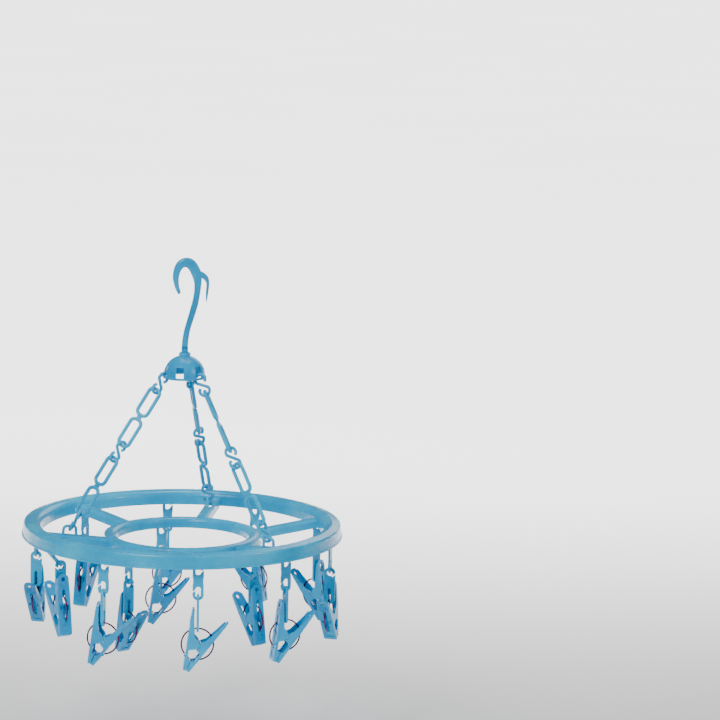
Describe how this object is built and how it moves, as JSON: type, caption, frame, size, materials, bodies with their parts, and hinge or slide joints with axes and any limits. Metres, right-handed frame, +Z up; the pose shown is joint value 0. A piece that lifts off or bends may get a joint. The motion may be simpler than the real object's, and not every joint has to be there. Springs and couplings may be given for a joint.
{
  "type": "clip drying hanger",
  "caption": "Round hanging dryer: swivel hook and dome, three link chains, a two-ring spoked frame and spring pegs on short links.",
  "frame": {"origin": "the hook's seat: the inner top of the hook, where it rests on a rail", "axes": "+Z up along the swivel axis, the hook's curve lies in the XZ plane"},
  "size_m": [0.3, 0.3008, 0.3649],
  "materials": {
    "frame": "soft gloss, slightly milky",
    "dome": "gloss",
    "hook": "gloss",
    "chain": "gloss",
    "peg": "gloss",
    "peg_link": "gloss",
    "spring_wire": "passivated, iridescent"
  },
  "bodies": {
    "hook": {"hook": "hook"},
    "dome": {"dome": "dome"},
    "frame": {"frame": "frame"},
    "chain_back": {"chain_back": "chain"},
    "chain_left": {"chain_left": "chain"},
    "chain_right": {"chain_right": "chain"},
    "peg_01_links": {"peg_01_links": "peg_link"},
    "peg_01_clip": {"peg_01_arm_a": "peg", "peg_01_spring": "spring_wire"},
    "peg_01_arm_b": {"peg_01_arm_b": "peg"},
    "peg_04_links": {"peg_04_links": "peg_link"},
    "peg_04_clip": {"peg_04_arm_a": "peg", "peg_04_spring": "spring_wire"},
    "peg_04_arm_b": {"peg_04_arm_b": "peg"},
    "peg_11_links": {"peg_11_links": "peg_link"},
    "peg_11_clip": {"peg_11_arm_a": "peg", "peg_11_spring": "spring_wire"},
    "peg_11_arm_b": {"peg_11_arm_b": "peg"},
    "peg_02_links": {"peg_02_links": "peg_link"},
    "peg_02_clip": {"peg_02_arm_a": "peg", "peg_02_spring": "spring_wire"},
    "peg_02_arm_b": {"peg_02_arm_b": "peg"},
    "peg_03_links": {"peg_03_links": "peg_link"},
    "peg_03_clip": {"peg_03_arm_a": "peg", "peg_03_spring": "spring_wire"},
    "peg_03_arm_b": {"peg_03_arm_b": "peg"},
    "peg_05_links": {"peg_05_links": "peg_link"},
    "peg_05_clip": {"peg_05_arm_a": "peg", "peg_05_spring": "spring_wire"},
    "peg_05_arm_b": {"peg_05_arm_b": "peg"},
    "peg_06_links": {"peg_06_links": "peg_link"},
    "peg_06_clip": {"peg_06_arm_a": "peg", "peg_06_spring": "spring_wire"},
    "peg_06_arm_b": {"peg_06_arm_b": "peg"},
    "peg_07_links": {"peg_07_links": "peg_link"},
    "peg_07_clip": {"peg_07_arm_a": "peg", "peg_07_spring": "spring_wire"},
    "peg_07_arm_b": {"peg_07_arm_b": "peg"},
    "peg_08_links": {"peg_08_links": "peg_link"},
    "peg_08_clip": {"peg_08_arm_a": "peg", "peg_08_spring": "spring_wire"},
    "peg_08_arm_b": {"peg_08_arm_b": "peg"},
    "peg_09_links": {"peg_09_links": "peg_link"},
    "peg_09_clip": {"peg_09_arm_a": "peg", "peg_09_spring": "spring_wire"},
    "peg_09_arm_b": {"peg_09_arm_b": "peg"},
    "peg_10_links": {"peg_10_links": "peg_link"},
    "peg_10_clip": {"peg_10_arm_a": "peg", "peg_10_spring": "spring_wire"},
    "peg_10_arm_b": {"peg_10_arm_b": "peg"},
    "peg_12_links": {"peg_12_links": "peg_link"},
    "peg_12_clip": {"peg_12_arm_a": "peg", "peg_12_spring": "spring_wire"},
    "peg_12_arm_b": {"peg_12_arm_b": "peg"},
    "peg_13_links": {"peg_13_links": "peg_link"},
    "peg_13_clip": {"peg_13_arm_a": "peg", "peg_13_spring": "spring_wire"},
    "peg_13_arm_b": {"peg_13_arm_b": "peg"}
  },
  "joints": [
    {"name": "dome_swivel", "type": "hinge", "parent": "hook", "child": "dome", "pos_m": [0, 0, -0.0827], "axis": [0, 0, 1], "continuous": true},
    {"name": "frame_twist", "type": "hinge", "parent": "dome", "child": "frame", "pos_m": [0, 0, -0.1031], "axis": [0, 0, 1], "range_deg": [-4, 4], "stiffness_Nm_per_rad": 0.08},
    {"name": "back_chain_swing", "type": "hinge", "parent": "dome", "child": "chain_back", "pos_m": [0.00458, 0.01906, -0.10315], "axis": [0.1971, 0.821, 0.5359], "range_deg": [-2.83, 2.83]},
    {"name": "left_chain_swing", "type": "hinge", "parent": "dome", "child": "chain_left", "pos_m": [-0.01879, -0.00557, -0.10315], "axis": [-0.8095, -0.2398, 0.5359], "range_deg": [-2.83, 2.83]},
    {"name": "right_chain_swing", "type": "hinge", "parent": "dome", "child": "chain_right", "pos_m": [0.01422, -0.01349, -0.10315], "axis": [0.6124, -0.5812, 0.5359], "range_deg": [-2.83, 2.83]},
    {"name": "peg_01_swing", "type": "hinge", "parent": "frame", "child": "peg_01_links", "pos_m": [0.01474, -0.14023, -0.2517], "axis": [0.1045, -0.9945, 0], "range_deg": [-12, 12]},
    {"name": "peg_01_tilt", "type": "hinge", "parent": "peg_01_links", "child": "peg_01_clip", "pos_m": [0.01474, -0.14023, -0.30885], "axis": [0, -1, 0], "range_deg": [-5, 10]},
    {"name": "peg_01_grip", "type": "hinge", "parent": "peg_01_clip", "child": "peg_01_arm_b", "pos_m": [0.01474, -0.14023, -0.32335], "axis": [0, -1, 0], "range_deg": [0, 18], "stiffness_Nm_per_rad": 0.12, "springref_deg": -20.05, "deforming": ["peg_01_spring"]},
    {"name": "peg_04_swing", "type": "hinge", "parent": "frame", "child": "peg_04_links", "pos_m": [-0.12881, -0.05735, -0.2517], "axis": [-0.9135, -0.4067, 0], "range_deg": [-12, 12]},
    {"name": "peg_04_tilt", "type": "hinge", "parent": "peg_04_links", "child": "peg_04_clip", "pos_m": [-0.11182, -0.04869, -0.29977], "axis": [0.8829, 0.4695, 0], "range_deg": [-5, 10]},
    {"name": "peg_04_grip", "type": "hinge", "parent": "peg_04_clip", "child": "peg_04_arm_b", "pos_m": [-0.11182, -0.04869, -0.31427], "axis": [0.8829, 0.4695, 0], "range_deg": [0, 18], "stiffness_Nm_per_rad": 0.12, "springref_deg": -20.05, "deforming": ["peg_04_spring"]},
    {"name": "peg_11_swing", "type": "hinge", "parent": "frame", "child": "peg_11_links", "pos_m": [-0.04906, -0.04738, -0.2597], "axis": [-0.7193, -0.6947, 0], "range_deg": [-12, 12]},
    {"name": "peg_11_tilt", "type": "hinge", "parent": "peg_11_links", "child": "peg_11_clip", "pos_m": [-0.04906, -0.04738, -0.31685], "axis": [-0.8191, -0.5736, 0], "range_deg": [-5, 10]},
    {"name": "peg_11_grip", "type": "hinge", "parent": "peg_11_clip", "child": "peg_11_arm_b", "pos_m": [-0.04906, -0.04738, -0.33135], "axis": [-0.8191, -0.5736, 0], "range_deg": [0, 18], "stiffness_Nm_per_rad": 0.12, "springref_deg": -20.05, "deforming": ["peg_11_spring"]},
    {"name": "peg_02_swing", "type": "hinge", "parent": "frame", "child": "peg_02_links", "pos_m": [-0.0705, -0.12211, -0.2517], "axis": [-0.5, -0.866, 0], "range_deg": [-12, 12]},
    {"name": "peg_02_tilt", "type": "hinge", "parent": "peg_02_links", "child": "peg_02_clip", "pos_m": [-0.0705, -0.12211, -0.30885], "axis": [-0.2419, -0.9703, 0], "range_deg": [-5, 10]},
    {"name": "peg_02_grip", "type": "hinge", "parent": "peg_02_clip", "child": "peg_02_arm_b", "pos_m": [-0.0705, -0.12211, -0.32335], "axis": [-0.2419, -0.9703, 0], "range_deg": [0, 18], "stiffness_Nm_per_rad": 0.12, "springref_deg": -20.05, "deforming": ["peg_02_spring"]},
    {"name": "peg_03_swing", "type": "hinge", "parent": "frame", "child": "peg_03_links", "pos_m": [0.09435, -0.10478, -0.2517], "axis": [0.6691, -0.7431, 0], "range_deg": [-12, 12]},
    {"name": "peg_03_tilt", "type": "hinge", "parent": "peg_03_links", "child": "peg_03_clip", "pos_m": [0.09435, -0.10478, -0.30885], "axis": [0.309, -0.9511, 0], "range_deg": [-5, 10]},
    {"name": "peg_03_grip", "type": "hinge", "parent": "peg_03_clip", "child": "peg_03_arm_b", "pos_m": [0.09435, -0.10478, -0.32335], "axis": [0.309, -0.9511, 0], "range_deg": [0, 18], "stiffness_Nm_per_rad": 0.12, "springref_deg": -20.05, "deforming": ["peg_03_spring"]},
    {"name": "peg_05_swing", "type": "hinge", "parent": "frame", "child": "peg_05_links", "pos_m": [-0.13792, 0.02932, -0.2517], "axis": [-0.9781, 0.2079, 0], "range_deg": [-12, 12]},
    {"name": "peg_05_tilt", "type": "hinge", "parent": "peg_05_links", "child": "peg_05_clip", "pos_m": [-0.13792, 0.02932, -0.30885], "axis": [-0.9781, 0.2079, 0], "range_deg": [-5, 10]},
    {"name": "peg_05_grip", "type": "hinge", "parent": "peg_05_clip", "child": "peg_05_arm_b", "pos_m": [-0.13792, 0.02932, -0.32335], "axis": [-0.9781, 0.2079, 0], "range_deg": [0, 18], "stiffness_Nm_per_rad": 0.12, "springref_deg": -20.05, "deforming": ["peg_05_spring"]},
    {"name": "peg_06_swing", "type": "hinge", "parent": "frame", "child": "peg_06_links", "pos_m": [-0.09435, 0.10478, -0.2517], "axis": [-0.6691, 0.7431, 0], "range_deg": [-12, 12]},
    {"name": "peg_06_tilt", "type": "hinge", "parent": "peg_06_links", "child": "peg_06_clip", "pos_m": [-0.09435, 0.10478, -0.30885], "axis": [0.9063, -0.4226, 0], "range_deg": [-5, 10]},
    {"name": "peg_06_grip", "type": "hinge", "parent": "peg_06_clip", "child": "peg_06_arm_b", "pos_m": [-0.09435, 0.10478, -0.32335], "axis": [0.9063, -0.4226, 0], "range_deg": [0, 18], "stiffness_Nm_per_rad": 0.12, "springref_deg": -20.05, "deforming": ["peg_06_spring"]},
    {"name": "peg_07_swing", "type": "hinge", "parent": "frame", "child": "peg_07_links", "pos_m": [-0.01474, 0.14023, -0.2517], "axis": [-0.1045, 0.9945, 0], "range_deg": [-12, 12]},
    {"name": "peg_07_tilt", "type": "hinge", "parent": "peg_07_links", "child": "peg_07_clip", "pos_m": [-0.01474, 0.14023, -0.30885], "axis": [0.2079, -0.9781, 0], "range_deg": [-5, 10]},
    {"name": "peg_07_grip", "type": "hinge", "parent": "peg_07_clip", "child": "peg_07_arm_b", "pos_m": [-0.01474, 0.14023, -0.32335], "axis": [0.2079, -0.9781, 0], "range_deg": [0, 18], "stiffness_Nm_per_rad": 0.12, "springref_deg": -20.05, "deforming": ["peg_07_spring"]},
    {"name": "peg_08_swing", "type": "hinge", "parent": "frame", "child": "peg_08_links", "pos_m": [0.0705, 0.12211, -0.2517], "axis": [0.5, 0.866, 0], "range_deg": [-12, 12]},
    {"name": "peg_08_tilt", "type": "hinge", "parent": "peg_08_links", "child": "peg_08_clip", "pos_m": [0.0705, 0.12211, -0.30885], "axis": [0.4695, 0.8829, 0], "range_deg": [-5, 10]},
    {"name": "peg_08_grip", "type": "hinge", "parent": "peg_08_clip", "child": "peg_08_arm_b", "pos_m": [0.0705, 0.12211, -0.32335], "axis": [0.4695, 0.8829, 0], "range_deg": [0, 18], "stiffness_Nm_per_rad": 0.12, "springref_deg": -20.05, "deforming": ["peg_08_spring"]},
    {"name": "peg_09_swing", "type": "hinge", "parent": "frame", "child": "peg_09_links", "pos_m": [0.12881, 0.05735, -0.2517], "axis": [0.9135, 0.4067, 0], "range_deg": [-12, 12]},
    {"name": "peg_09_tilt", "type": "hinge", "parent": "peg_09_links", "child": "peg_09_clip", "pos_m": [0.12881, 0.05735, -0.30885], "axis": [0.5736, 0.8191, 0], "range_deg": [-5, 10]},
    {"name": "peg_09_grip", "type": "hinge", "parent": "peg_09_clip", "child": "peg_09_arm_b", "pos_m": [0.12881, 0.05735, -0.32335], "axis": [0.5736, 0.8191, 0], "range_deg": [0, 18], "stiffness_Nm_per_rad": 0.12, "springref_deg": -20.05, "deforming": ["peg_09_spring"]},
    {"name": "peg_10_swing", "type": "hinge", "parent": "frame", "child": "peg_10_links", "pos_m": [0.13792, -0.02932, -0.2517], "axis": [0.9781, -0.2079, 0], "range_deg": [-12, 12]},
    {"name": "peg_10_tilt", "type": "hinge", "parent": "peg_10_links", "child": "peg_10_clip", "pos_m": [0.13792, -0.02932, -0.30885], "axis": [-0.9511, 0.309, 0], "range_deg": [-5, 10]},
    {"name": "peg_10_grip", "type": "hinge", "parent": "peg_10_clip", "child": "peg_10_arm_b", "pos_m": [0.13792, -0.02932, -0.32335], "axis": [-0.9511, 0.309, 0], "range_deg": [0, 18], "stiffness_Nm_per_rad": 0.12, "springref_deg": -20.05, "deforming": ["peg_10_spring"]},
    {"name": "peg_12_swing", "type": "hinge", "parent": "frame", "child": "peg_12_links", "pos_m": [-0.01994, 0.06522, -0.2597], "axis": [-0.2924, 0.9563, 0], "range_deg": [-12, 12]},
    {"name": "peg_12_tilt", "type": "hinge", "parent": "peg_12_links", "child": "peg_12_clip", "pos_m": [-0.01994, 0.06522, -0.31685], "axis": [0.0349, -0.9994, 0], "range_deg": [-5, 10]},
    {"name": "peg_12_grip", "type": "hinge", "parent": "peg_12_clip", "child": "peg_12_arm_b", "pos_m": [-0.01994, 0.06522, -0.33135], "axis": [0.0349, -0.9994, 0], "range_deg": [0, 18], "stiffness_Nm_per_rad": 0.12, "springref_deg": -20.05, "deforming": ["peg_12_spring"]},
    {"name": "peg_13_swing", "type": "hinge", "parent": "frame", "child": "peg_13_links", "pos_m": [0.06716, -0.01184, -0.2597], "axis": [0.9848, -0.1736, 0], "range_deg": [-12, 12]},
    {"name": "peg_13_tilt", "type": "hinge", "parent": "peg_13_links", "child": "peg_13_clip", "pos_m": [0.06716, -0.01184, -0.31685], "axis": [0.7986, 0.6018, 0], "range_deg": [-5, 10]},
    {"name": "peg_13_grip", "type": "hinge", "parent": "peg_13_clip", "child": "peg_13_arm_b", "pos_m": [0.06716, -0.01184, -0.33135], "axis": [0.7986, 0.6018, 0], "range_deg": [0, 18], "stiffness_Nm_per_rad": 0.12, "springref_deg": -20.05, "deforming": ["peg_13_spring"]}
  ],
  "couplings": [
    {"joint": "back_chain_swing", "follows": "frame_twist", "ratio": 0.65691},
    {"joint": "left_chain_swing", "follows": "frame_twist", "ratio": 0.65691},
    {"joint": "right_chain_swing", "follows": "frame_twist", "ratio": 0.65691}
  ]
}
